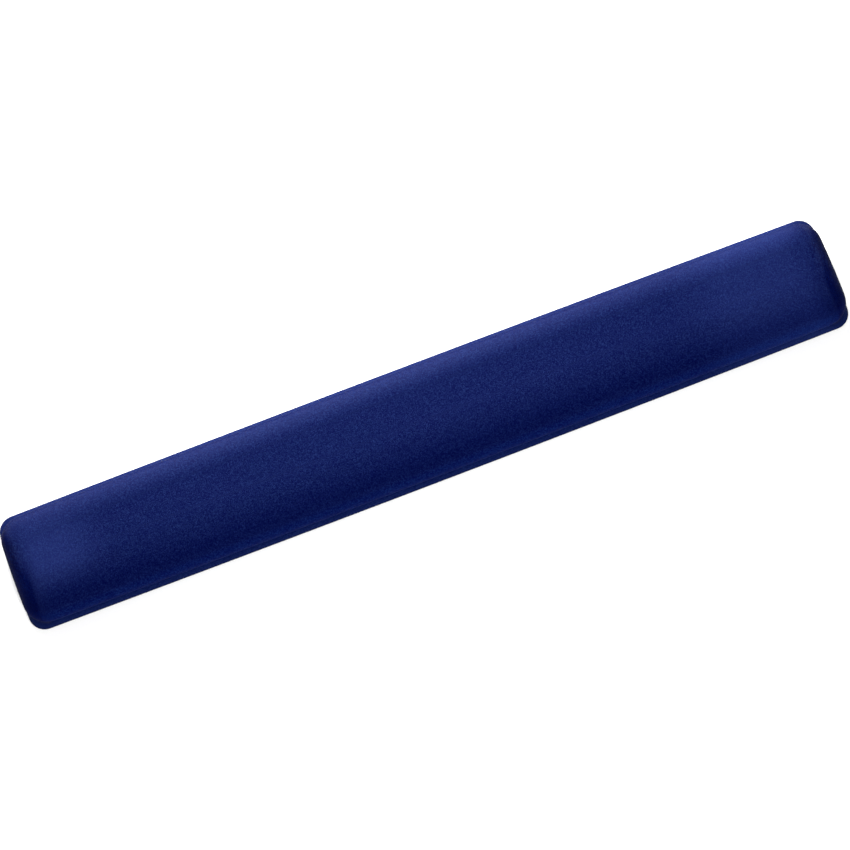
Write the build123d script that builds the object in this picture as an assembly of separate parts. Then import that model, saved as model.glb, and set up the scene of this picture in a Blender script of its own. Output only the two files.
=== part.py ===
from build123d import *
import math
import os

# Keyboard wrist rest: a heat-formed, knit-covered gel pillow on a flat non-slip rubber base.
# Millimetres. The origin is the centre of the underside, on the surface the rest lies on.
# +X runs along the length, +Y points to the back (the keyboard side) and +Z is up.

# Overall size
LENGTH = 483.0
WIDTH = 67.0  # across the middle of the length
HEIGHT = 19.0

# Cut outline, shared by the base and the skin
SIDE_BOW = 0.9  # how far each long side bows outward at its middle
END_BOW = 0.7  # how far each end bows outward at its middle
CUT_CORNER = 8.5

# Flat layers, from the surface up
BASE_THICKNESS = 2.4
ADHESIVE_THICKNESS = 0.2
BACKING_THICKNESS = 0.3
FILM_THICKNESS = 0.3
FABRIC_THICKNESS = 0.8

# Rim: the skin comes down from the crease over the base's bevelled edge
RIM_DROP = 2.2  # how much lower the skin's cut edge lies than the crease
RIM_SWELL = 0.26  # how far the middle of the rim stands above a straight slope
BASE_EDGE = 1.0  # thickness of the rubber at its cut edge
BEVEL = 2.3  # how far in the bevel reaches; the adhesive and the films stop there
BEVEL_CORNER = 11.5  # corner radius at the top of the bevel, and of the adhesive and the films

# Pillow, measured on the outside of the fabric
SIDE_FLANGE = 2.7  # width of the rim beyond the pillow, along the long sides
END_FLANGE = 2.6  # the same across the ends, under the overhang
SIDE_OVERHANG = 0.2  # how far the pillow bulges back out over the rim
END_OVERHANG = 2.1
FRONT_SHOULDER = 30.0  # how far in from the front the crown keeps rising, gently, under the wrists
BACK_SHOULDER = 14.0  # the same from the back, which is steeper
END_SHOULDER = 15.0
WAIST_CORNER = 12.5  # corner radius where the pillow is widest
CREASE_CORNER = 12.0  # corner radius where the pillow meets the flange
CROWN_CORNER = 4.0  # corner radius of the level strip along the top
EQUATOR_SHARE = 0.25  # how far up the pillow its widest level lies
SHOULDER_LEVELS = 7  # sections between the widest level and the top
CLEARANCE = 0.05  # left between nested curved layers

# Heights worked out from the layers
ADHESIVE_BOTTOM = BASE_THICKNESS
BACKING_BOTTOM = ADHESIVE_BOTTOM + ADHESIVE_THICKNESS
FILM_BOTTOM = BACKING_BOTTOM + BACKING_THICKNESS
FABRIC_BOTTOM = FILM_BOTTOM + FILM_THICKNESS
CREASE_HEIGHT = FABRIC_BOTTOM + FABRIC_THICKNESS
RIM_EDGE_TOP = CREASE_HEIGHT - RIM_DROP


def bar_outline(length, width, corner, height, towards_back=0.0):
    """A bar with gently bowed sides and round corners, as a face lying at a height."""
    half_length = length / 2
    half_width = width / 2
    end_x = half_length - END_BOW
    end_y = half_width - SIDE_BOW
    with BuildSketch(Plane.XY.offset(height)) as outline:
        with BuildLine():
            ThreePointArc((-end_x, end_y), (0, half_width), (end_x, end_y))
            ThreePointArc((end_x, end_y), (half_length, 0), (end_x, -end_y))
            ThreePointArc((end_x, -end_y), (0, -half_width), (-end_x, -end_y))
            ThreePointArc((-end_x, -end_y), (-half_length, 0), (-end_x, end_y))
        make_face()
        fillet(outline.vertices(), corner)
    return outline.sketch.moved(Location((0, towards_back, 0)))


def cut_outline(height):
    """The outline that the whole rest is cut to."""
    return bar_outline(LENGTH, WIDTH, CUT_CORNER, height)


def inner_outline(height):
    """The outline at the top of the base's bevel, where the adhesive and the films stop."""
    return bar_outline(LENGTH - 2 * BEVEL, WIDTH - 2 * BEVEL, BEVEL_CORNER, height)


def pillow(bottom, inset):
    """The pillow as a solid from height bottom up, drawn in by inset from the fabric's outside."""
    equator = bottom + (HEIGHT - bottom) * EQUATOR_SHARE
    rise = HEIGHT - inset - equator
    waist_length = LENGTH - 2 * (END_FLANGE - END_OVERHANG) - 2 * inset
    waist_width = WIDTH - 2 * (SIDE_FLANGE - SIDE_OVERHANG) - 2 * inset
    both_shoulders = FRONT_SHOULDER + BACK_SHOULDER - 2 * inset
    crown_shift = (FRONT_SHOULDER - BACK_SHOULDER) / 2
    sections = [
        bar_outline(
            waist_length - 2 * END_OVERHANG,
            waist_width - 2 * SIDE_OVERHANG,
            CREASE_CORNER - inset,
            bottom,
        ),
        bar_outline(
            waist_length - END_OVERHANG / 2,
            waist_width - SIDE_OVERHANG / 2,
            WAIST_CORNER - inset,
            bottom + (equator - bottom) / 2,
        ),
    ]
    for level in range(SHOULDER_LEVELS + 1):
        angle = math.radians(90) * level / SHOULDER_LEVELS
        drawn_in = 1 - math.cos(angle)
        sections.append(
            bar_outline(
                waist_length - 2 * (END_SHOULDER - inset) * drawn_in,
                waist_width - both_shoulders * drawn_in,
                WAIST_CORNER - inset - (WAIST_CORNER - inset - CROWN_CORNER) * drawn_in,
                equator + rise * math.sin(angle),
                crown_shift * drawn_in,
            )
        )
    return loft(sections)


def rubber_base():
    """The solid rubber bar that grips the desk, bevelled round its top."""
    bevelled = loft([cut_outline(BASE_EDGE), inner_outline(BASE_THICKNESS)])
    return extrude(cut_outline(0), BASE_EDGE) + bevelled


def adhesive_sheet():
    """The double-sided sheet between the base and the pillow's backing."""
    return extrude(inner_outline(ADHESIVE_BOTTOM), ADHESIVE_THICKNESS)


def backing_film():
    """The flat film that closes the gel from below."""
    return extrude(inner_outline(BACKING_BOTTOM), BACKING_THICKNESS)


def cover_film():
    """The formed film that holds the gel in: a flat flange and a raised pillow in one sheet."""
    inset = FABRIC_THICKNESS + CLEARANCE
    flange = extrude(inner_outline(FILM_BOTTOM), FILM_THICKNESS)
    outside = pillow(FABRIC_BOTTOM, inset)
    inside = pillow(FILM_BOTTOM, inset + FILM_THICKNESS)
    return flange + outside - inside


def gel_core():
    """The gel that fills the pillow."""
    return pillow(FILM_BOTTOM, FABRIC_THICKNESS + FILM_THICKNESS + 2 * CLEARANCE)


def rim():
    """The skirt of the skin as a solid, from its cut edge up to the crease round the pillow."""
    edge = extrude(cut_outline(BASE_EDGE), RIM_EDGE_TOP - BASE_EDGE)
    slope = loft(
        [
            cut_outline(RIM_EDGE_TOP),
            bar_outline(
                LENGTH - END_FLANGE,
                WIDTH - SIDE_FLANGE,
                (CUT_CORNER + CREASE_CORNER) / 2,
                CREASE_HEIGHT - RIM_DROP / 2 + RIM_SWELL,
            ),
            bar_outline(
                LENGTH - 2 * END_FLANGE,
                WIDTH - 2 * SIDE_FLANGE,
                CREASE_CORNER,
                CREASE_HEIGHT,
            ),
        ]
    )
    return edge + slope


def fabric_cover():
    """The knit skin: the crowned pillow and the skirt that runs down over the base's bevel."""
    layers = extrude(inner_outline(BASE_THICKNESS), FABRIC_BOTTOM - BASE_THICKNESS)
    hollow = pillow(FABRIC_BOTTOM, FABRIC_THICKNESS)
    return rim() + pillow(CREASE_HEIGHT, 0) - rubber_base() - layers - hollow


PIECES = {
    "rubber_base": rubber_base,
    "adhesive_sheet": adhesive_sheet,
    "backing_film": backing_film,
    "gel_core": gel_core,
    "cover_film": cover_film,
    "fabric_cover": fabric_cover,
}

os.makedirs("parts", exist_ok=True)
for name, make in PIECES.items():
    piece = make()
    piece.label = name
    export_step(piece, os.path.join("parts", name + ".step"))
    print(name, round(piece.volume), "mm3")
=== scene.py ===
import math

import bmesh
import bpy
import numpy as np
from mathutils import Matrix, Vector


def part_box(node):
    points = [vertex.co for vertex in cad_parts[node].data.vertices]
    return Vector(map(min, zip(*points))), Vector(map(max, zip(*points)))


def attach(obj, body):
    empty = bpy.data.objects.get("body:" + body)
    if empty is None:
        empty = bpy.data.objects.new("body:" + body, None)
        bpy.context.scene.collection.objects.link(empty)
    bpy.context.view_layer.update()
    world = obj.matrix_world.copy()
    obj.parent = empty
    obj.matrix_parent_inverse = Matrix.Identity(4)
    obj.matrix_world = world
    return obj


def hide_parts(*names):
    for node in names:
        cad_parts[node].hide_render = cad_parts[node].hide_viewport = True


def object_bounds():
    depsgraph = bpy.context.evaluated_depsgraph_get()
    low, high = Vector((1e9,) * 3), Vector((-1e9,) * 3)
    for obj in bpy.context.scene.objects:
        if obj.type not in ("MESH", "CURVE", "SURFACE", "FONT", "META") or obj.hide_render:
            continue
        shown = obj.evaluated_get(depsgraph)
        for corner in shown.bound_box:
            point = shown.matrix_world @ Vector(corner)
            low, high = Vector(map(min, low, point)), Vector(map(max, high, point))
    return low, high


# A keyboard wrist rest: a gel pillow under a taut knit skin, on a flat rubber base.
# Everything is in metres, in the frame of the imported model.

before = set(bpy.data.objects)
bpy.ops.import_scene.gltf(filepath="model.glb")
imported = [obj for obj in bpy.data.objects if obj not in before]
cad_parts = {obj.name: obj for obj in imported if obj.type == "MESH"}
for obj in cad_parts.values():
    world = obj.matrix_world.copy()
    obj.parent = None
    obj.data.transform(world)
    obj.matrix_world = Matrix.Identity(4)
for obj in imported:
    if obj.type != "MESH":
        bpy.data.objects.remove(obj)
CAD_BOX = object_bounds()

MM = 0.001
DEGREE = math.pi / 180

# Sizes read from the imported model
COVER_LOW, COVER_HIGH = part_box("fabric_cover")
BACKING_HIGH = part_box("backing_film")[1]
HALF_LENGTH = COVER_HIGH.x
HALF_WIDTH = COVER_HIGH.y
TOP = COVER_HIGH.z
BASE_EDGE = COVER_LOW.z  # thickness of the rubber at its cut edge
BASE_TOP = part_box("rubber_base")[1].z
GEL_BOTTOM = BACKING_HIGH.z
BEVEL = HALF_LENGTH - BACKING_HIGH.x  # how far in the base's bevel reaches

# The same driving dimensions as the CAD pieces
BEVEL_CORNER = 11.5 * MM  # corner radius at the top of the bevel
CUT_CORNER = 8.5 * MM  # corner radius of the cut outline
SIDE_BOW = 0.9 * MM  # how far each long side bows outward at its middle
END_BOW = 0.7 * MM  # the same for each end
FABRIC_THICKNESS = 0.8 * MM
FILM_THICKNESS = 0.3 * MM
SIDE_FLANGE = 2.7 * MM  # width of the rim beyond the pillow, along the long sides
END_FLANGE = 2.6 * MM  # the same across the ends
SIDE_OVERHANG = 0.2 * MM  # how far the pillow bulges back out over the rim
END_OVERHANG = 2.1 * MM
FRONT_SHOULDER = 30.0 * MM  # how far in from the front the crown keeps rising
BACK_SHOULDER = 14.0 * MM
END_SHOULDER = 15.0 * MM
WAIST_CORNER = 12.5 * MM  # corner radius where the pillow is widest
CREASE_CORNER = 12.0 * MM
CROWN_CORNER = 4.0 * MM
EQUATOR_SHARE = 0.25  # how far up the pillow its widest level lies
FABRIC_BOTTOM = GEL_BOTTOM + FILM_THICKNESS
CREASE_HEIGHT = FABRIC_BOTTOM + FABRIC_THICKNESS
RIM_DROP = 2.2 * MM  # how much lower the skin's cut edge lies than the crease
EQUATOR = CREASE_HEIGHT + (TOP - CREASE_HEIGHT) * EQUATOR_SHARE

# The rim's section
RIM_STARTS = 0.03  # share of its width taken by the rounding of the cut edge
RIM_ROUNDNESS = 1.5

# Mesh density
CORNER_STEPS = 10
END_STEPS = 10
SIDE_STEPS = 150
RIM_STEPS = 5  # from the cut edge in to the crease
UNDER_STEPS = 5  # from the crease up to the widest level
SHOULDER_STEPS = 16  # from the widest level up to the crown strip

# The skin's masks
STRAIN_HIGHLIGHT_REACH = 13.0 * MM  # how far from an end or side the strained crease, with its painted highlight, begins
END_STRAIN_HIGHLIGHT = 0.25  # strain and painted highlight along the straight ends, against 1 in the corners
CORNER_RISE = 6  # how quickly the strain and its painted highlight grow into a corner
WALL_LEVELS = (4, 7)  # the steep wall ends between these levels over the waist

# Soft edges and the hair of air between nested meshes
HEM_ROUND = 0.12 * MM  # height over which the skin's cut edge is rounded
HEM_STEP = 0.05 * MM  # how far in the hem's lower edge is drawn
HEM_LIFT = 0.02 * MM  # its height over the rubber's edge
BEVEL_GAP = 0.03 * MM  # between the skirt and the bevel
HAIR = 0.01 * MM  # between the fabric, the film and the gel
FILM_EDGE_STEPS = (0.6 * MM, 0.2 * MM, 0.0)  # from inside the flange out to its edge

# Cloth simulation of the skin
START_HEIGHT = 0.96  # the skin starts at this share of its final height over the crease
MOVE_CAP = 1.3 * MM  # no point moves further than this
CLOTH_FRAMES = 20
CLOTH_PRESSURE = 2.5
CLOTH_SCALE = 10  # the cloth is worked out on a copy this much larger, where the solver is steady
SKIN_TENSION = 15
SKIN_BENDING = 0.5
SKIN_DAMPING = 25
AIR_DAMPING = 5
SOLVER_STEPS = 8
POINT_MASS = 0.1
GEL_HOLD = 0.35  # how firmly the gel's own shape holds the skin on top, from 0 to 1
FOOT_HOLD = 0.8  # the same just above the crease
HOLD_FADE = 14  # levels over which the hold falls from the one to the other


# ---------------------------------------------------------------- outlines

def outline(half_x, half_y, corner, z):
    """Points round a bar with bowed sides and round corners.

    They run anticlockwise from the middle of its front right corner.
    """
    end_x = half_x - END_BOW
    end_y = half_y - SIDE_BOW
    centres = [(1, -1), (1, 1), (-1, 1), (-1, -1)]
    points = []
    for side in range(4):
        first = np.array(centres[side]) * (end_x - corner, end_y - corner)
        last = np.array(centres[(side + 1) % 4]) * (end_x - corner, end_y - corner)
        steps = END_STEPS if side % 2 == 0 else SIDE_STEPS
        half_turn = np.linspace(0, 45, CORNER_STEPS // 2 + 1) * DEGREE
        turns = np.concatenate([half_turn - 45 * DEGREE, np.zeros(steps - 1), half_turn[:-1]])
        shares = np.concatenate(
            [
                np.zeros(CORNER_STEPS // 2 + 1),
                np.arange(1, steps) / steps,
                np.ones(CORNER_STEPS // 2),
            ]
        )
        turns = turns + 90 * DEGREE * side
        middle = first + (last - first) * shares[:, None]
        points.append(middle + corner * np.stack([np.cos(turns), np.sin(turns)], 1))
    flat = np.concatenate(points)
    bowed_x = flat[:, 0] + np.sign(flat[:, 0]) * END_BOW * (1 - (flat[:, 1] / end_y) ** 2)
    bowed_y = flat[:, 1] + np.sign(flat[:, 1]) * SIDE_BOW * (1 - (flat[:, 0] / end_x) ** 2)
    return np.stack([bowed_x, bowed_y, np.full(len(flat), z)], 1)


def across(ring):
    """A grid of points inside a ring: the four sides blended into each other."""
    columns = CORNER_STEPS + END_STEPS
    rows = CORNER_STEPS + SIDE_STEPS
    right = ring[: columns + 1]
    back = ring[columns : columns + rows + 1]
    left = ring[columns + rows : 2 * columns + rows + 1][::-1]
    front = np.concatenate([ring[2 * columns + rows :], ring[:1]])[::-1]
    u = np.linspace(0, 1, rows + 1)[:, None, None]
    v = np.linspace(0, 1, columns + 1)[None, :, None]
    sides = (1 - u) * right[None] + u * left[None]
    ends = (1 - v) * front[:, None] + v * back[:, None]
    corners = (
        (1 - u) * (1 - v) * right[0]
        + (1 - u) * v * right[-1]
        + u * (1 - v) * left[0]
        + u * v * left[-1]
    )
    return sides + ends - corners


# ---------------------------------------------------------------- meshes from rings

RING_POINTS = 2 * (2 * CORNER_STEPS + END_STEPS + SIDE_STEPS)
COLUMNS = CORNER_STEPS + END_STEPS
ROWS = CORNER_STEPS + SIDE_STEPS


def cap_faces(ring_start, inside_start, facing_up):
    """Quads that fill a ring with a grid: the ring's points and the grid's inside points."""
    index = np.zeros((ROWS + 1, COLUMNS + 1), int)
    inside = np.arange((ROWS - 1) * (COLUMNS - 1)).reshape(ROWS - 1, COLUMNS - 1)
    index[1:-1, 1:-1] = inside_start + inside
    index[0, :] = ring_start + np.arange(COLUMNS + 1)
    index[:, -1] = ring_start + COLUMNS + np.arange(ROWS + 1)
    index[-1, ::-1] = ring_start + COLUMNS + ROWS + np.arange(COLUMNS + 1)
    index[1:, 0] = ring_start + 2 * COLUMNS + ROWS + np.arange(ROWS)[::-1]
    faces = np.stack([index[:-1, :-1], index[:-1, 1:], index[1:, 1:], index[1:, :-1]], 2)
    faces = faces.reshape(-1, 4)
    return faces if facing_up else faces[:, ::-1]


def ring_faces(ring_count):
    """Quads between each ring and the next, facing outward and up."""
    around = np.arange(RING_POINTS)
    after = (around + 1) % RING_POINTS
    faces = []
    for level in range(ring_count - 1):
        low = level * RING_POINTS
        high = low + RING_POINTS
        faces.append(np.stack([low + around, low + after, high + after, high + around], 1))
    return np.concatenate(faces)


def mesh_object(name, points, faces, smooth=True):
    mesh = bpy.data.meshes.new(name)
    mesh.from_pydata(points.tolist(), [], faces.tolist())
    mesh.validate()
    mesh.update()
    mesh.polygons.foreach_set("use_smooth", [smooth] * len(mesh.polygons))
    made = bpy.data.objects.new(name, mesh)
    bpy.context.scene.collection.objects.link(made)
    return made


def loft(name, rings, top, bottom=None):
    """Rings joined into one mesh, closed by a grid above and, where one is given, a grid below."""
    rings = np.asarray(rings)
    points = [rings.reshape(-1, 3), top[1:-1, 1:-1].reshape(-1, 3)]
    top_start = len(points[0])
    last_ring = (len(rings) - 1) * RING_POINTS
    faces = [ring_faces(len(rings)), cap_faces(last_ring, top_start, True)]
    if bottom is not None:
        points.append(bottom[1:-1, 1:-1].reshape(-1, 3))
        faces.append(cap_faces(0, top_start + len(points[1]), False))
    return mesh_object(name, np.concatenate(points), np.concatenate(faces))


def add_attribute(made, name, values):
    """A value for each vertex, as one number or three."""
    values = np.asarray(values, np.float32)
    kind, key = ("FLOAT_VECTOR", "vector") if values.ndim == 2 else ("FLOAT", "value")
    attribute = made.data.attributes.new(name, kind, "POINT")
    attribute.data.foreach_set(key, values.ravel())


def apply_modifiers(made):
    """Puts the result of a piece's modifiers into its mesh."""
    bpy.context.view_layer.update()
    evaluated = made.evaluated_get(bpy.context.evaluated_depsgraph_get())
    finished = bpy.data.meshes.new_from_object(evaluated)
    finished.name = made.name
    old = made.data
    made.modifiers.clear()
    made.data = finished
    bpy.data.meshes.remove(old)


def subdivide(made):
    modifier = made.modifiers.new("subdivision", "SUBSURF")
    modifier.levels = 1
    modifier.render_levels = 1
    apply_modifiers(made)


# ---------------------------------------------------------------- the skin and what it holds

def rim_rings():
    """The rim from its cut edge in and up to the crease, rounded like a pressed bead."""
    rings = []
    for step in range(RIM_STEPS):
        share = RIM_STARTS + (1 - RIM_STARTS) * step / RIM_STEPS
        height = 1 - (1 - share) ** RIM_ROUNDNESS
        rings.append(
            outline(
                HALF_LENGTH - END_FLANGE * share,
                HALF_WIDTH - SIDE_FLANGE * share,
                CUT_CORNER + (CREASE_CORNER - CUT_CORNER) * share,
                CREASE_HEIGHT - RIM_DROP * (1 - height),
            )
        )
    return rings


def pillow_rings():
    """The pillow from the crease up over its widest level to the crown strip."""
    crease_x = HALF_LENGTH - END_FLANGE
    crease_y = HALF_WIDTH - SIDE_FLANGE
    rings = []
    for step in range(UNDER_STEPS + 1):
        rise = step / UNDER_STEPS
        bulge = math.sin(90 * DEGREE * rise)
        rings.append(
            outline(
                crease_x + END_OVERHANG * bulge,
                crease_y + SIDE_OVERHANG * bulge,
                CREASE_CORNER + (WAIST_CORNER - CREASE_CORNER) * rise,
                CREASE_HEIGHT + (EQUATOR - CREASE_HEIGHT) * rise,
            )
        )
    for step in range(1, SHOULDER_STEPS + 1):
        angle = 90 * DEGREE * step / SHOULDER_STEPS
        drawn_in = 1 - math.cos(angle)
        ring = outline(
            crease_x + END_OVERHANG - END_SHOULDER * drawn_in,
            crease_y + SIDE_OVERHANG - (FRONT_SHOULDER + BACK_SHOULDER) / 2 * drawn_in,
            WAIST_CORNER + (CROWN_CORNER - WAIST_CORNER) * drawn_in,
            EQUATOR + (TOP - EQUATOR) * math.sin(angle),
        )
        rings.append(ring + (0, (FRONT_SHOULDER - BACK_SHOULDER) / 2 * drawn_in, 0))
    return rings


CREASE = RIM_STEPS  # the index of the ring in the crease
SKIN_RINGS = np.array(rim_rings() + pillow_rings())
SKIN_TOP = across(SKIN_RINGS[-1])


def vertex_normals(made):
    normals = np.zeros(len(made.data.vertices) * 3, np.float32)
    made.data.vertices.foreach_get("normal", normals)
    return normals.reshape(-1, 3).astype(float)


def vertex_points(made):
    points = np.zeros(len(made.data.vertices) * 3, np.float32)
    made.data.vertices.foreach_get("co", points)
    return points.reshape(-1, 3).astype(float)


def simulate_skin(skin, pinned):
    """Blows the skin up like a taut cloth with gel under it, and returns where its points end."""
    start = vertex_points(skin) * CLOTH_SCALE
    skin.data.vertices.foreach_set("co", start.astype(np.float32).ravel())
    skin.data.update()
    group = skin.vertex_groups.new(name="pinned")
    group.add(list(range(len(start))), GEL_HOLD, "REPLACE")
    for level in range(len(SKIN_RINGS)):
        hold = FOOT_HOLD + (GEL_HOLD - FOOT_HOLD) * max(0, level - CREASE) / HOLD_FADE
        ring = range(level * RING_POINTS, (level + 1) * RING_POINTS)
        group.add(list(ring), max(hold, GEL_HOLD), "REPLACE")
    group.add(list(pinned), 1.0, "REPLACE")
    modifier = skin.modifiers.new("cloth", "CLOTH")
    settings = modifier.settings
    settings.quality = SOLVER_STEPS
    settings.mass = POINT_MASS
    settings.tension_stiffness = SKIN_TENSION
    settings.compression_stiffness = SKIN_TENSION
    settings.shear_stiffness = SKIN_TENSION / 2
    settings.bending_stiffness = SKIN_BENDING
    settings.tension_damping = SKIN_DAMPING
    settings.compression_damping = SKIN_DAMPING
    settings.air_damping = AIR_DAMPING
    settings.use_pressure = True
    settings.uniform_pressure_force = CLOTH_PRESSURE
    settings.vertex_group_mass = "pinned"
    settings.effector_weights.gravity = 0
    modifier.collision_settings.use_collision = False
    modifier.collision_settings.use_self_collision = False
    modifier.point_cache.frame_start = 1
    modifier.point_cache.frame_end = CLOTH_FRAMES
    for number in range(1, CLOTH_FRAMES + 1):
        bpy.context.scene.frame_set(number)
    evaluated = skin.evaluated_get(bpy.context.evaluated_depsgraph_get())
    ended = np.zeros(len(start) * 3, np.float32)
    evaluated.data.vertices.foreach_get("co", ended)
    ended = ended.reshape(-1, 3).astype(float)
    skin.modifiers.clear()
    bpy.context.scene.frame_set(1)
    moved = (ended - start) / CLOTH_SCALE
    far = np.linalg.norm(moved, axis=1)
    print("cloth moved", far.max() / MM, "mm at most,", far.mean() / MM, "mm on average")
    keep = np.minimum(1, MOVE_CAP / np.maximum(far, 1e-9))
    return start / CLOTH_SCALE + moved * keep[:, None]


def settle_skin():
    """The skin's rings and top after the simulation, with their normals."""
    skin = loft("skin", SKIN_RINGS, SKIN_TOP)
    points = vertex_points(skin)
    first_free = (CREASE + 1) * RING_POINTS
    over = points[:, 2] > CREASE_HEIGHT
    points[over, 2] = CREASE_HEIGHT + (points[over, 2] - CREASE_HEIGHT) * START_HEIGHT
    skin.data.vertices.foreach_set("co", points.astype(np.float32).ravel())
    skin.data.update()
    points = simulate_skin(skin, range(first_free))
    over = points[:, 2] > CREASE_HEIGHT
    swell = (TOP - CREASE_HEIGHT) / (points[:, 2].max() - CREASE_HEIGHT)
    points[over, 2] = CREASE_HEIGHT + (points[over, 2] - CREASE_HEIGHT) * swell
    skin.data.vertices.foreach_set("co", points.astype(np.float32).ravel())
    skin.data.update()
    normals = vertex_normals(skin)
    bpy.data.objects.remove(skin)
    return points, normals


def as_rings_and_top(points):
    """Splits the skin's points back into its rings and its top grid."""
    count = len(SKIN_RINGS) * RING_POINTS
    rings = points[:count].reshape(-1, RING_POINTS, 3)
    top = across(rings[-1])
    top[1:-1, 1:-1] = points[count:].reshape(ROWS - 1, COLUMNS - 1, 3)
    return rings, top


POINTS, NORMALS = settle_skin()


def layer_under(depth):
    """The settled skin's surface moved inward by a depth, as rings and a top grid."""
    reach = np.full(len(POINTS), depth)
    reach[CREASE * RING_POINTS : (CREASE + 1) * RING_POINTS] *= math.sqrt(2)
    return as_rings_and_top(POINTS - NORMALS * reach[:, None])


# the rings that the hidden surfaces keep: fewer than the outside has
INNER_LEVELS = [0, 2, 4, CREASE, CREASE + 2, CREASE + 4]
INNER_LEVELS += range(CREASE + UNDER_STEPS + 2, len(SKIN_RINGS), 3)
INNER_LEVELS.append(len(SKIN_RINGS) - 1)


def cut_outline(step_in, z):
    """The outline that the whole rest is cut to, drawn in by a step."""
    return outline(HALF_LENGTH - step_in, HALF_WIDTH - step_in, CUT_CORNER - step_in, z)


def inner_outline(step_in, z):
    """The outline at the top of the base's bevel, drawn in by a further step."""
    inset = BEVEL + step_in
    return outline(HALF_LENGTH - inset, HALF_WIDTH - inset, BEVEL_CORNER - step_in, z)


def flattened_cloth(outer):
    """Cloth coordinates: straight outward from the crown strip by the length along the skin."""
    steps = np.linalg.norm(np.diff(outer, axis=0), axis=2)
    run = np.concatenate([np.cumsum(steps[::-1], axis=0)[::-1], np.zeros((1, RING_POINTS))])
    tangent = np.roll(outer[-1], -1, 0) - np.roll(outer[-1], 1, 0)
    outward = np.stack([tangent[:, 1], -tangent[:, 0], np.zeros(RING_POINTS)], 1)
    outward /= np.linalg.norm(outward, axis=1)[:, None]
    return outer[-1][None] * (1, 1, 0) + outward[None] * run[:, :, None]


def pressed_mask(ring_count):
    """1 on the pressed rim, falling to 0 above the crease."""
    pressed = np.zeros((ring_count, RING_POINTS))
    pressed[:CREASE] = 1
    pressed[CREASE] = 0.5
    return pressed


def crease_highlight_mask(outer):
    """Where the strained crease's painted highlight lies: 1 where the crease turns a corner, faint
    along the ends, 0 along the sides.
    """
    crease_highlight = np.zeros(outer.shape[:2])
    crease_highlight[CREASE] = 1
    crease_highlight[CREASE - 1] = 0.5
    crease_highlight[CREASE + 1] = 0.35
    along = np.abs(outer[CREASE, :, 0]) - (HALF_LENGTH - STRAIN_HIGHLIGHT_REACH)
    beside = np.abs(outer[CREASE, :, 1]) - (HALF_WIDTH - STRAIN_HIGHLIGHT_REACH)
    at_end = np.clip(along / STRAIN_HIGHLIGHT_REACH, 0, 1)
    at_side = np.clip(beside / STRAIN_HIGHLIGHT_REACH, 0, 1)
    in_corner = np.minimum(1, CORNER_RISE * at_end * at_side)
    return crease_highlight * (END_STRAIN_HIGHLIGHT * at_end + (1 - END_STRAIN_HIGHLIGHT) * in_corner)


def wall_mask(ring_count):
    """1 on the steep wall of the pillow, 0 on its top."""
    first, last = WALL_LEVELS
    level = np.arange(ring_count) - (CREASE + UNDER_STEPS)  # counted from the waist
    over_wall = np.clip((level - first) / (last - first), 0, 1)
    share = 1 - over_wall * over_wall * (3 - 2 * over_wall)
    return np.repeat(share[:, None], RING_POINTS, 1)


def make_fabric_cover():
    """The knit skin as a closed sheet: inside, cut edge and outside."""
    outer, outer_top = layer_under(0.0)
    inner, inner_top = layer_under(FABRIC_THICKNESS)
    inside = [inner[level] for level in reversed(INNER_LEVELS)]
    hem_top = CREASE_HEIGHT - RIM_DROP
    edge = [
        cut_outline(HEM_STEP, BASE_EDGE + HEM_LIFT),
        cut_outline(0.0, BASE_EDGE + HEM_ROUND),
        cut_outline(0.0, hem_top - HEM_ROUND),
    ]
    under_bevel = (cut_outline(0.0, BASE_EDGE) + inner_outline(0.0, BASE_TOP)) / 2
    inside[-3:] = [
        inner_outline(HEM_STEP, FABRIC_BOTTOM),
        inner_outline(0.0, BASE_TOP + HEM_STEP),
        under_bevel + (0, 0, BEVEL_GAP),
    ]
    cover = loft("fabric_cover_skin", inside + edge + list(outer), outer_top, inner_top)
    cloth = vertex_points(cover)
    first_edge = len(inside) * RING_POINTS
    first_outer = first_edge + len(edge) * RING_POINTS
    after_outer = first_outer + len(outer) * RING_POINTS
    cloth[first_outer:after_outer] = flattened_cloth(outer).reshape(-1, 3)
    add_attribute(cover, "cloth", cloth)
    pressed = pressed_mask(len(outer))
    # these masks also place the rim's painted sheen, the crease's painted highlight and the walls'
    # painted shade and light
    masks = (
        ("pressed", pressed, 1.0),
        ("crease_highlight", crease_highlight_mask(outer), 0.0),
        ("wall", wall_mask(len(outer)) * (1 - pressed), 0.0),
    )
    for name, values, before in masks:
        whole = np.full(len(cloth), before)
        whole[first_outer:] = 0
        whole[first_outer:after_outer] = values.ravel()
        add_attribute(cover, name, whole)
    cut = np.zeros(len(cloth))
    cut[first_edge:first_outer] = 1
    add_attribute(cover, "cut_edge", cut)
    subdivide(cover)
    return cover


def make_cover_film():
    """The formed film right under the fabric, as a closed sheet."""
    outer, outer_top = layer_under(FABRIC_THICKNESS + HAIR)
    inner, inner_top = layer_under(FABRIC_THICKNESS + FILM_THICKNESS - HAIR)
    inside = [inner[level] for level in reversed(INNER_LEVELS)]
    outside = [outer[level] for level in INNER_LEVELS]
    inside[-3:] = [inner_outline(step, GEL_BOTTOM + HAIR) for step in FILM_EDGE_STEPS]
    outside[:3] = [inner_outline(step, FABRIC_BOTTOM - HAIR) for step in reversed(FILM_EDGE_STEPS)]
    return loft("cover_film_formed", inside + outside, outer_top, inner_top)


def make_gel_core():
    """The gel that fills the formed film down to the backing."""
    rings, top = layer_under(FABRIC_THICKNESS + FILM_THICKNESS + HAIR)
    foot = rings[CREASE].copy()
    foot[:, 2] = GEL_BOTTOM + HAIR
    used = [foot] + [rings[level] for level in INNER_LEVELS if level > CREASE]
    return loft("gel_core_filled", used, top, across(foot))


# ---------------------------------------------------------------- the rubber base

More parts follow.
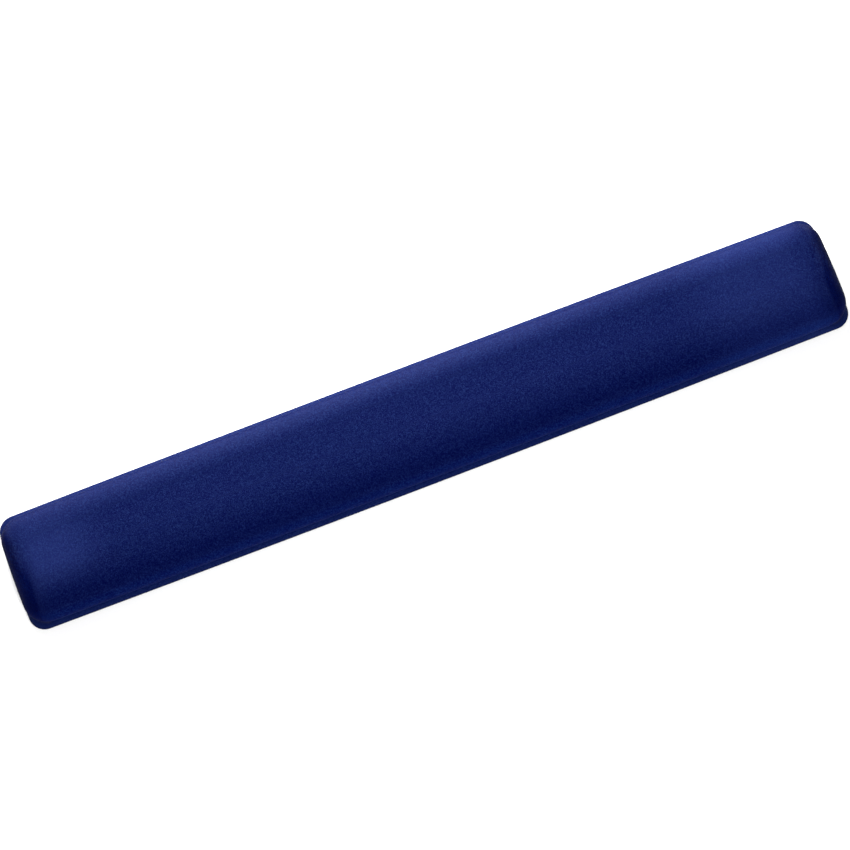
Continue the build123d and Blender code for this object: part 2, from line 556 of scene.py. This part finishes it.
GRIP_LAND = 3.2 * MM  # plain border round the grip pattern
GRIP_PITCH = 3.0 * MM
DIMPLE_MOUTH = 1.02 * MM  # radius of a dimple at the surface
DIMPLE_FLOOR = 0.72 * MM  # its radius at the bottom
DIMPLE_DEPTH = 0.35 * MM
FLAT_NORMAL = 0.9  # faces that point this much up or down are shaded flat

# The die-cut edge of the rubber, from the surface up: how far in, and how high
EDGE_ROUNDING = (
    (0.35 * MM, 0.0),
    (0.10 * MM, 0.07 * MM),
    (0.0, 0.28 * MM),
    (0.03 * MM, BASE_EDGE * 0.6),
    (0.0, BASE_EDGE - 0.10 * MM),
    (0.06 * MM, BASE_EDGE),
)
TOP_BORDER = 1.0 * MM  # ring of faces between the top of the bevel and the flat top


def grip_patch(half_x, half_y):
    """The dimpled grip pattern: points, faces facing down, and the rim's points in order."""
    across_x = round(2 * half_x / GRIP_PITCH)
    across_y = round(2 * half_y / GRIP_PITCH)
    xs = np.linspace(-half_x, half_x, 2 * across_x + 1)
    ys = np.linspace(-half_y, half_y, 2 * across_y + 1)
    points, faces, index = [], [], {}

    def lattice(i, j):
        if (i, j) not in index:
            index[i, j] = len(points)
            points.append((xs[i], ys[j], 0.0))
        return index[i, j]

    turns = [(-1, -1), (0, -1), (1, -1), (1, 0), (1, 1), (0, 1), (-1, 1), (-1, 0)]
    for i in range(across_x):
        for j in range(across_y):
            middle = (2 * i + 1, 2 * j + 1)
            ring = [lattice(middle[0] + a, middle[1] + b) for a, b in turns]
            start = len(points)
            for radius, height in ((DIMPLE_MOUTH, 0.0), (DIMPLE_FLOOR, DIMPLE_DEPTH)):
                for a, b in turns:
                    length = math.hypot(a, b)
                    points.append(
                        (
                            xs[middle[0]] + radius * a / length,
                            ys[middle[1]] + radius * b / length,
                            height,
                        )
                    )
            for k in range(8):
                after = (k + 1) % 8
                mouth, floor = start + k, start + 8 + k
                mouth_after, floor_after = start + after, start + 8 + after
                faces.append((ring[k], mouth, mouth_after, ring[after]))
                faces.append((mouth, floor, floor_after, mouth_after))
            faces.append(tuple(start + 8 + k for k in reversed(range(8))))
    last_x, last_y = 2 * across_x, 2 * across_y
    rim = [(i, 0) for i in range(last_x)] + [(last_x, j) for j in range(last_y)]
    rim += [(i, last_y) for i in range(last_x, 0, -1)] + [(0, j) for j in range(last_y, 0, -1)]
    return points, faces, [index[key] for key in rim]


def make_rubber_base():
    """The rubber bar: a soft die-cut edge, a bevel, a flat top and a dimpled underside."""
    rings = [cut_outline(step_in, z) for step_in, z in EDGE_ROUNDING]
    rings += [inner_outline(0.0, BASE_TOP), inner_outline(TOP_BORDER, BASE_TOP)]
    grip_points, grip_faces, rim = grip_patch(HALF_LENGTH - GRIP_LAND, HALF_WIDTH - GRIP_LAND)
    mesh = bmesh.new()
    sides = [mesh.verts.new(p) for ring in rings for p in ring]
    for a, b, c, d in ring_faces(len(rings)):
        mesh.faces.new([sides[a], sides[b], sides[c], sides[d]])
    last = (len(rings) - 1) * RING_POINTS
    inside = across(rings[-1])[1:-1, 1:-1].reshape(-1, 3)
    tops = sides + [mesh.verts.new(p) for p in inside]
    for face in cap_faces(last, len(sides), True):
        mesh.faces.new([tops[i] for i in face])
    grip = [mesh.verts.new(p) for p in grip_points]
    for face in grip_faces:
        mesh.faces.new([grip[i] for i in face])
    foot = sides[:RING_POINTS]
    rim = [grip[i] for i in rim]
    edges = [
        mesh.edges.get((loop[i - 1], loop[i])) for loop in (foot, rim) for i in range(len(loop))
    ]
    bmesh.ops.triangle_fill(mesh, use_beauty=True, edges=edges, normal=(0, 0, -1))
    bmesh.ops.recalc_face_normals(mesh, faces=mesh.faces)
    data = bpy.data.meshes.new("rubber_base_bar")
    mesh.to_mesh(data)
    mesh.free()
    made = bpy.data.objects.new("rubber_base_bar", data)
    bpy.context.scene.collection.objects.link(made)
    for polygon in data.polygons:
        polygon.use_smooth = abs(polygon.normal.z) < FLAT_NORMAL
    return made


# ---------------------------------------------------------------- materials

class Shading:
    """A short way to write a material's nodes."""

    def __init__(self, name):
        self.material = bpy.data.materials.new(name)
        self.material.use_nodes = True
        self.tree = self.material.node_tree
        self.tree.nodes.clear()
        self.output = self.tree.nodes.new("ShaderNodeOutputMaterial")
        self.surface = self.tree.nodes.new("ShaderNodeBsdfPrincipled")
        self.link(self.surface.outputs[0], self.output.inputs["Surface"])

    def link(self, source, target):
        self.tree.links.new(source, target)

    def put(self, value, socket):
        if isinstance(value, bpy.types.NodeSocket):
            self.link(value, socket)
        elif value is not None:
            socket.default_value = value

    def finish_is(self, **values):
        """Sets plain values on the shader: underscores stand for the spaces in a socket's name."""
        for key, value in values.items():
            self.surface.inputs[key.replace("_", " ")].default_value = value

    def attribute(self, name, output="Fac"):
        node = self.tree.nodes.new("ShaderNodeAttribute")
        node.attribute_name = name
        return node.outputs[output]

    def position(self):
        return self.tree.nodes.new("ShaderNodeTexCoord").outputs["Object"]

    def sum(self, operation, first, second=None, third=None):
        """One step of arithmetic on numbers or sockets."""
        node = self.tree.nodes.new("ShaderNodeMath")
        node.operation = operation
        self.put(first, node.inputs[0])
        self.put(second, node.inputs[1])
        self.put(third, node.inputs[2])
        return node.outputs[0]

    def stretched(self, vector, scale):
        node = self.tree.nodes.new("ShaderNodeVectorMath")
        node.operation = "MULTIPLY"
        self.put(vector, node.inputs[0])
        node.inputs[1].default_value = scale
        return node.outputs[0]

    def parts(self, vector):
        node = self.tree.nodes.new("ShaderNodeSeparateXYZ")
        self.put(vector, node.inputs[0])
        return node.outputs

    def noise(self, vector, feature, detail=2.0, roughness=0.5):
        """Noise from 0 to 1 with features of about this size in metres."""
        node = self.tree.nodes.new("ShaderNodeTexNoise")
        self.put(vector, node.inputs["Vector"])
        node.inputs["Scale"].default_value = 1 / feature
        node.inputs["Detail"].default_value = detail
        node.inputs["Roughness"].default_value = roughness
        return node.outputs["Fac"]

    def cells(self, vector, feature, output="Distance"):
        node = self.tree.nodes.new("ShaderNodeTexVoronoi")
        self.put(vector, node.inputs["Vector"])
        node.inputs["Scale"].default_value = 1 / feature
        return node.outputs[output]

    def times(self, first, second):
        return self.sum("MULTIPLY", first, second)

    def without(self, value):
        """What is left of 1 when a value from 0 to 1 is taken away."""
        return self.sum("SUBTRACT", 1.0, value)

    def span(self, value, low, high, new_low=0.0, new_high=1.0):
        """Maps low..high to new_low..new_high, held at both ends."""
        node = self.tree.nodes.new("ShaderNodeMapRange")
        self.put(value, node.inputs["Value"])
        node.inputs["From Min"].default_value = low
        node.inputs["From Max"].default_value = high
        node.inputs["To Min"].default_value = new_low
        node.inputs["To Max"].default_value = new_high
        return node.outputs["Result"]

    def smooth(self, value, start, end):
        """Rises from 0 at start to 1 at end with soft turns; a start past the end makes it fall."""
        node = self.tree.nodes.new("ShaderNodeMapRange")
        node.interpolation_type = "SMOOTHSTEP"
        self.put(value, node.inputs["Value"])
        node.inputs["From Min"].default_value = min(start, end)
        node.inputs["From Max"].default_value = max(start, end)
        node.inputs["To Min"].default_value = 0.0 if start < end else 1.0
        node.inputs["To Max"].default_value = 1.0 if start < end else 0.0
        return node.outputs["Result"]

    def mixed(self, share, first, second, blend="MIX"):
        """One colour blended into another, added to it or multiplied by it."""
        node = self.tree.nodes.new("ShaderNodeMix")
        node.data_type = "RGBA"
        node.blend_type = blend
        self.put(share, node.inputs["Factor"])
        for value, socket in ((first, node.inputs[6]), (second, node.inputs[7])):
            self.put(value if isinstance(value, bpy.types.NodeSocket) else (*value, 1), socket)
        return node.outputs[2]

    def bump(self, height, distance, strength=1.0, after=None):
        node = self.tree.nodes.new("ShaderNodeBump")
        self.put(height, node.inputs["Height"])
        node.inputs["Distance"].default_value = distance
        node.inputs["Strength"].default_value = strength
        self.put(after, node.inputs["Normal"])
        return node.outputs["Normal"]


# The knit's stitches
WALE = 0.70 * MM  # width of one column of stitches
COURSE = 0.55 * MM  # height of one row of stitches
LEG_SLANT = 1.2  # how steeply a stitch's legs run, in rows per column
KNIT_DEPTH = 0.10 * MM
KNIT_RELIEF = 0.6  # strength of the stitches' bump
FUZZ_DEPTH = 0.12 * MM
FUZZ_RELIEF = 0.8
STITCH_TONE = 0.43 * MM  # size of the patches of one tone
FUZZ_SIZE = 0.9 * MM
MOTTLE_SIZE = 7 * MM
YARN_SIZE = 0.6 * MM
YARN_STRETCH = (1.0, 0.22, 1.0)  # yarn streaks run along the columns
LINT_PITCH = 9 * MM
STRAIN_PATCH = 3 * MM

# The knit's colours
YARN_DARK = (0.0, 0.0009, 0.0288)
YARN_LIGHT = (0.0050, 0.0116, 0.0605)
MOTTLE = (0.0016, 0.0038, 0.038)
YARN_STREAK = (0.0034, 0.0092, 0.058)
STITCH_GAP = (0.0, 0.001, 0.022)
LINT = (0.05, 0.055, 0.09)
# grey of the strained knit round the crease's corners, with a painted highlight along the fold
STRAINED_HIGHLIGHT = (0.050, 0.047, 0.060)
CUT_YARN = (0.008, 0.010, 0.030)
# these two are added to the colour: a painted highlight near the ends and a painted sheen on the
# rim
PAINTED_HIGHLIGHT = (0.0036, 0.0060, 0.0225)
PAINTED_RIM_SHEEN = (0.0004, 0.0016, 0.0080)
# and these multiply it: painted shade on the end walls, front slope and back wall, painted light on
# the front wall
END_WALL_SHADE = (0.23, 0.40, 0.71)
FRONT_SLOPE_SHADE = (0.72, 0.76, 0.97)
BACK_WALL_SHADE = (0.76, 0.81, 0.83)
FRONT_WALL_LIGHT = (0.8, 1.1, 1.25)

# Where the painted highlight, painted shade and painted light fall, along the cloth
PAINTED_HIGHLIGHT_LEFT = ((4 * MM, 18 * MM), (64 * MM, 26 * MM))  # in from the left end: rise, fall
PAINTED_HIGHLIGHT_RIGHT = ((8 * MM, 30 * MM), (100 * MM, 55 * MM))  # in from the right end: rise, fall
PAINTED_HIGHLIGHT_RIGHT_SHARE = 0.55
PAINTED_HIGHLIGHT_MIDDLE = 3 * MM  # the left patch lies this far behind the middle
PAINTED_HIGHLIGHT_ASIDE = (24 * MM, 5 * MM)
END_WALL_SHADE_RISE = (8.5 * MM, 3 * MM)
FRONT_SLOPE_SHADE_RISE = (-8 * MM, -25 * MM)
BACK_SHADE_RISE = (0.0, 20 * MM)
FRONT_LIGHT_RISE = (0.0, -20 * MM)

# The knit's shine
SLOPE_DULLNESS = 0.8  # of the front slope, against 1 on the walls
WALL_GLOSS = 0.22  # gloss left on the walls
KNIT_SPECULAR = 0.036
KNIT_SHEEN = 0.024
KNIT_ROUGHNESS = (0.66, 0.54)


def knit_height(made, cloth):
    """Columns of V-shaped stitches, from 0 in the gaps to 1 on the yarn."""
    x, y, _ = made.parts(cloth)
    column = made.sum("DIVIDE", x, WALE)
    row = made.sum("DIVIDE", y, COURSE)
    beside = made.sum("PINGPONG", column, 0.5)  # 0 at a column's gap, 0.5 at its middle
    slant = made.sum("MULTIPLY_ADD", beside, LEG_SLANT, row)
    yarn = made.sum("SINE", made.times(slant, 2 * math.pi))
    legs = made.sum("SINE", made.times(beside, 2 * math.pi))
    return made.sum("MULTIPLY_ADD", made.times(yarn, legs), 0.5, 0.5)


def yarn_colour(made, cloth, stitches):
    """The dyed yarn before any painted light or shade: flecks, mottle, streaks, dark gaps and a
    little lint.
    """
    fleck, _, _ = made.parts(made.cells(cloth, STITCH_TONE, "Color"))
    mottle = made.noise(cloth, MOTTLE_SIZE, detail=3.0, roughness=0.6)
    yarn = made.noise(made.stretched(cloth, YARN_STRETCH), YARN_SIZE, detail=1.0)
    lint = made.span(made.cells(cloth, LINT_PITCH), 0.0, 0.028, 0.5, 0.0)
    colour = made.mixed(made.sum("POWER", fleck, 2.0), YARN_DARK, YARN_LIGHT)
    colour = made.mixed(made.span(mottle, 0.50, 0.75, 0.0, 0.30), colour, MOTTLE)
    colour = made.mixed(made.span(yarn, 0.62, 0.80, 0.0, 0.30), colour, YARN_STREAK)
    colour = made.mixed(made.span(stitches, 0.0, 0.35, 0.20, 0.0), colour, STITCH_GAP)
    return made.mixed(lint, colour, LINT)


def painted_end_highlight(made, left, right, beside):
    """1 where a highlight is painted lighter near the left end, and a little less near the right
    end.
    """
    aside = made.sum("ABSOLUTE", made.sum("SUBTRACT", beside, PAINTED_HIGHLIGHT_MIDDLE))
    rise, fall = PAINTED_HIGHLIGHT_LEFT
    at_left = made.times(made.smooth(left, *rise), made.smooth(left, *fall))
    at_left = made.times(at_left, made.smooth(aside, *PAINTED_HIGHLIGHT_ASIDE))
    rise, fall = PAINTED_HIGHLIGHT_RIGHT
    at_right = made.times(made.smooth(right, *rise), made.smooth(right, *fall))
    return made.sum("MULTIPLY_ADD", at_right, PAINTED_HIGHLIGHT_RIGHT_SHARE, at_left)


def knit_material():
    """Taut navy knit with a soft sheen, a pressed rim with painted sheen, a strained crease with a
    painted highlight, and painted shade and light on its walls and slopes.
    """
    made = Shading("navy_knit")
    cloth = made.attribute("cloth", "Vector")
    pressed = made.attribute("pressed")
    crease_highlight = made.attribute("crease_highlight")
    wall = made.attribute("wall")
    cut_edge = made.attribute("cut_edge")
    speckle = made.noise(cloth, FUZZ_SIZE, detail=1.0, roughness=0.6)
    stitches = knit_height(made, cloth)
    along, beside, _ = made.parts(cloth)
    left = made.sum("ADD", along, HALF_LENGTH)
    right = made.sum("SUBTRACT", HALF_LENGTH, along)

    colour = yarn_colour(made, cloth, stitches)
    # painted highlight, added near the ends
    colour = made.mixed(painted_end_highlight(made, left, right, beside), colour, PAINTED_HIGHLIGHT, "ADD")
    # painted shade darkens the skin down the walls, darkest down the ends; its gloss is dulled
    # there too
    raised = made.without(pressed)
    drawn = made.times(made.smooth(made.sum("MINIMUM", left, right), *END_WALL_SHADE_RISE), raised)
    colour = made.mixed(drawn, colour, END_WALL_SHADE, "MULTIPLY")
    # painted shade down the front slope
    slope = made.times(made.smooth(beside, *FRONT_SLOPE_SHADE_RISE), made.without(wall))
    slope = made.times(slope, raised)
    colour = made.mixed(slope, colour, FRONT_SLOPE_SHADE, "MULTIPLY")
    # painted shade on the back wall
    back_wall_shade = made.times(wall, made.smooth(beside, *BACK_SHADE_RISE))
    colour = made.mixed(back_wall_shade, colour, BACK_WALL_SHADE, "MULTIPLY")
    # painted bounce light on the front wall: bluer and lighter, less red
    front_wall_light = made.times(wall, made.smooth(beside, *FRONT_LIGHT_RISE))
    colour = made.mixed(front_wall_light, colour, FRONT_WALL_LIGHT, "MULTIPLY")
    # painted sheen, added on the pressed rim
    colour = made.mixed(pressed, colour, PAINTED_RIM_SHEEN, "ADD")
    # grey of the strained knit with a painted highlight, round the crease's corners
    patchy = made.span(made.noise(cloth, STRAIN_PATCH), 0.35, 0.65, 0.25, 0.6)
    colour = made.mixed(made.times(crease_highlight, patchy), colour, STRAINED_HIGHLIGHT)
    colour = made.mixed(made.times(cut_edge, 0.5), colour, CUT_YARN)
    made.link(colour, made.surface.inputs["Base Color"])

    dull = made.sum("MAXIMUM", drawn, wall)
    dull = made.sum("MAXIMUM", dull, made.times(slope, SLOPE_DULLNESS))
    gloss = made.span(dull, 0.0, 1.0, 1.0, WALL_GLOSS)
    made.link(made.times(gloss, KNIT_SPECULAR), made.surface.inputs["Specular IOR Level"])
    made.link(made.times(gloss, KNIT_SHEEN), made.surface.inputs["Sheen Weight"])
    roughness = made.span(speckle, 0.3, 0.7, *KNIT_ROUGHNESS)
    made.link(roughness, made.surface.inputs["Roughness"])
    made.finish_is(
        Specular_Tint=(0.72, 0.93, 1.0, 1.0),
        Sheen_Roughness=0.45,
        Sheen_Tint=(0.62, 0.68, 1.0, 1.0),
    )
    fuzz = made.bump(speckle, FUZZ_DEPTH, FUZZ_RELIEF)
    knit = made.bump(stitches, KNIT_DEPTH, KNIT_RELIEF, fuzz)
    made.link(knit, made.surface.inputs["Normal"])
    return made.material


RUBBER_GRAIN_SIZE = 0.5 * MM
RUBBER_GRAIN_DEPTH = 0.05 * MM
RUBBED_SIZE = 22 * MM
FLECK_PITCH = 2.6 * MM
RUBBER_DARK = (0.010, 0.010, 0.011)
RUBBER_LIGHT = (0.026, 0.026, 0.028)
DUSTY_RUBBER = (0.048, 0.047, 0.045)
PALE_FLECK = (0.09, 0.09, 0.09)


def rubber_material():
    """Charcoal rubber with a fine grain, faint dusty rubs and small pale flecks."""
    made = Shading("grip_rubber")
    place = made.position()
    grain = made.noise(place, RUBBER_GRAIN_SIZE, detail=3.0, roughness=0.65)
    rubbed = made.noise(place, RUBBED_SIZE, detail=4.0, roughness=0.6)
    flecks = made.span(made.cells(place, FLECK_PITCH), 0.0, 0.06, 0.5, 0.0)
    colour = made.mixed(made.span(grain, 0.3, 0.7), RUBBER_DARK, RUBBER_LIGHT)
    colour = made.mixed(made.span(rubbed, 0.50, 0.80, 0.0, 0.6), colour, DUSTY_RUBBER)
    colour = made.mixed(flecks, colour, PALE_FLECK)
    made.link(colour, made.surface.inputs["Base Color"])
    made.link(made.span(rubbed, 0.35, 0.75, 0.55, 0.85), made.surface.inputs["Roughness"])
    made.finish_is(Specular_IOR_Level=0.4)
    made.link(made.bump(grain, RUBBER_GRAIN_DEPTH, 0.7), made.surface.inputs["Normal"])
    return made.material


FILM_STREAK_STRETCH = (0.12, 1.0, 1.0)  # streaks run along the length
FILM_STREAK_SIZE = 2.5 * MM
FILM_STREAK_DEPTH = 0.03 * MM
FILM_HAZE_SIZE = 15 * MM
FILM_DARK = (0.46, 0.47, 0.45)
FILM_LIGHT = (0.60, 0.60, 0.56)


def film_material():
    """Milky polyurethane film with faint drawn streaks."""
    made = Shading("milky_film")
    place = made.position()
    streaks = made.noise(made.stretched(place, FILM_STREAK_STRETCH), FILM_STREAK_SIZE, detail=3.0)
    haze = made.noise(place, FILM_HAZE_SIZE, detail=2.0)
    colour = made.mixed(made.span(haze, 0.3, 0.7), FILM_DARK, FILM_LIGHT)
    made.link(colour, made.surface.inputs["Base Color"])
    made.link(made.span(streaks, 0.3, 0.7, 0.28, 0.45), made.surface.inputs["Roughness"])
    made.link(made.bump(streaks, FILM_STREAK_DEPTH, 0.5), made.surface.inputs["Normal"])
    made.finish_is(Subsurface_Weight=0.2, Subsurface_Scale=0.001)
    return made.material


THREAD_PITCH = 0.9 * MM
THREAD_DEPTH = 0.02 * MM
BLOTCH_SIZE = 9 * MM
ADHESIVE_DARK = (0.50, 0.44, 0.31)
ADHESIVE_LIGHT = (0.62, 0.57, 0.44)


def adhesive_material():
    """Cream pressure-sensitive adhesive on a woven carrier."""
    made = Shading("cream_adhesive")
    place = made.position()
    x, y, _ = made.parts(place)
    turns = 2 * math.pi / THREAD_PITCH
    warp = made.sum("SINE", made.times(x, turns))
    weft = made.sum("SINE", made.times(y, turns))
    threads = made.sum("ADD", warp, weft)
    blotches = made.noise(place, BLOTCH_SIZE, detail=3.0)
    colour = made.mixed(made.span(blotches, 0.3, 0.7), ADHESIVE_DARK, ADHESIVE_LIGHT)
    made.link(colour, made.surface.inputs["Base Color"])
    made.link(made.span(blotches, 0.3, 0.7, 0.42, 0.6), made.surface.inputs["Roughness"])
    made.link(made.bump(threads, THREAD_DEPTH, 0.6), made.surface.inputs["Normal"])
    return made.material


CLOUD_SIZE = 12 * MM
BUBBLE_PITCH = 4 * MM
BUBBLE_DEPTH = 0.15 * MM
GEL_DARK = (0.22, 0.34, 0.52)
GEL_LIGHT = (0.34, 0.47, 0.62)
BUBBLE = (0.75, 0.82, 0.88)


def gel_material():
    """Pale blue polyurethane gel, cloudy, with tiny bubbles."""
    made = Shading("pale_gel")
    place = made.position()
    cloud = made.noise(place, CLOUD_SIZE, detail=3.0)
    bubbles = made.span(made.cells(place, BUBBLE_PITCH), 0.05, 0.14, 1.0, 0.0)
    colour = made.mixed(made.span(cloud, 0.3, 0.7), GEL_DARK, GEL_LIGHT)
    colour = made.mixed(made.times(bubbles, 0.5), colour, BUBBLE)
    made.link(colour, made.surface.inputs["Base Color"])
    made.link(made.span(cloud, 0.3, 0.7, 0.12, 0.22), made.surface.inputs["Roughness"])
    made.link(made.bump(bubbles, BUBBLE_DEPTH, 0.6), made.surface.inputs["Normal"])
    made.finish_is(Subsurface_Weight=0.6, Subsurface_Scale=0.004)
    return made.material


FLOOR_PATCH = 0.6  # metres
FLOOR_DARK = (0.91, 0.91, 0.91)
FLOOR_LIGHT = (0.93, 0.93, 0.93)


def floor_material():
    """A plain floor, nearly white."""
    made = Shading("pale_floor")
    tone = made.noise(made.position(), FLOOR_PATCH, detail=2.0)
    colour = made.mixed(made.span(tone, 0.3, 0.7), FLOOR_DARK, FLOOR_LIGHT)
    made.link(colour, made.surface.inputs["Base Color"])
    made.finish_is(Roughness=0.8, Specular_IOR_Level=0.1)
    return made.material


# ---------------------------------------------------------------- the pieces

def give(made, material):
    made.data.materials.clear()
    made.data.materials.append(material)


film = film_material()

cover = make_fabric_cover()
give(cover, knit_material())
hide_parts("fabric_cover")

formed_film = make_cover_film()
give(formed_film, film)
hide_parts("cover_film")

gel = make_gel_core()
give(gel, gel_material())
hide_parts("gel_core")

base = make_rubber_base()
give(base, rubber_material())
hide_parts("rubber_base")

for piece in (cover, formed_film, gel, base):
    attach(piece, "root")

for node, material in (("backing_film", film), ("adhesive_sheet", adhesive_material())):
    give(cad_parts[node], material)


# ---------------------------------------------------------------- camera

CAMERA_ELEVATION = 81.23 * DEGREE
CAMERA_AZIMUTH = -21.46 * DEGREE
CAMERA_ROLL = 0.48 * DEGREE
CAMERA_DISTANCE = 1.100  # metres
CAMERA_LENS = 84.95  # millimetres, on the sensor below
CAMERA_SENSOR = 36
CAMERA_NEAR = 0.01
AIM_OFFSET = Vector((-2.39 * MM, -2.15 * MM, -1.5 * MM))


def make_camera():
    """Nearly straight above, from the front and a little to the left."""
    low, high = CAD_BOX
    aim = (low + high) / 2 + AIM_OFFSET
    back = Vector(
        (
            math.sin(CAMERA_AZIMUTH) * math.cos(CAMERA_ELEVATION),
            -math.cos(CAMERA_AZIMUTH) * math.cos(CAMERA_ELEVATION),
            math.sin(CAMERA_ELEVATION),
        )
    )
    right = Vector((0, 0, 1)).cross(back).normalized()
    up = back.cross(right)
    data = bpy.data.cameras.new("camera")
    data.lens = CAMERA_LENS
    data.sensor_width = CAMERA_SENSOR
    data.clip_start = CAMERA_NEAR
    made = bpy.data.objects.new("camera", data)
    bpy.context.scene.collection.objects.link(made)
    cosine, sine = math.cos(CAMERA_ROLL), math.sin(CAMERA_ROLL)
    axes = Matrix((right * cosine + up * sine, up * cosine - right * sine, back)).transposed()
    made.matrix_world = Matrix.Translation(aim + back * CAMERA_DISTANCE) @ axes.to_4x4()
    bpy.context.scene.camera = made


make_camera()


# ---------------------------------------------------------------- floor and light

FLOOR_HALF = 6.0  # metres
WORLD_STRENGTH = 0.38

# Each soft light's place and size in metres, and its power in watts
BACK_LIGHT = ("light_back", (0.0, 0.60, 0.28), (0.45, 0.25), 16.9)
FILL_LIGHTS = (
    ("light_back_wide", (0.0, 1.0, 0.28), (0.9, 0.3), 10.4),
    ("light_top", (0.0, 0.1, 1.2), (0.6, 0.6), 3.6),
    ("light_front", (0.0, -0.8, 0.6), (0.5, 0.3), 9.6),
)


def make_floor():
    half = FLOOR_HALF
    points = np.array([(-half, -half, 0), (half, -half, 0), (half, half, 0), (-half, half, 0)])
    floor = mesh_object("floor", points, np.array([[0, 1, 2, 3]]), smooth=False)
    give(floor, floor_material())


def softbox(name, place, size, power):
    """A rectangular soft light at a place, turned towards the origin."""
    data = bpy.data.lights.new(name, "AREA")
    data.shape = "RECTANGLE"
    data.size, data.size_y = size
    data.energy = power
    made = bpy.data.objects.new(name, data)
    bpy.context.scene.collection.objects.link(made)
    made.location = place
    made.rotation_mode = "QUATERNION"
    made.rotation_quaternion = (Vector() - Vector(place)).to_track_quat("-Z", "Y")
    return made


make_floor()
softbox(*BACK_LIGHT)
for light in FILL_LIGHTS:
    fill = softbox(*light)
    fill.visible_glossy = False  # the fills light the knit evenly and leave no shine on it

world = bpy.data.worlds.new("world")
bpy.context.scene.world = world
world.use_nodes = True
background = world.node_tree.nodes["Background"]
background.inputs["Color"].default_value = (1.0, 1.0, 1.0, 1.0)
background.inputs["Strength"].default_value = WORLD_STRENGTH

view = bpy.context.scene.view_settings
view.view_transform = "Standard"
view.look = "None"
view.exposure = 0.0
view.gamma = 1.0
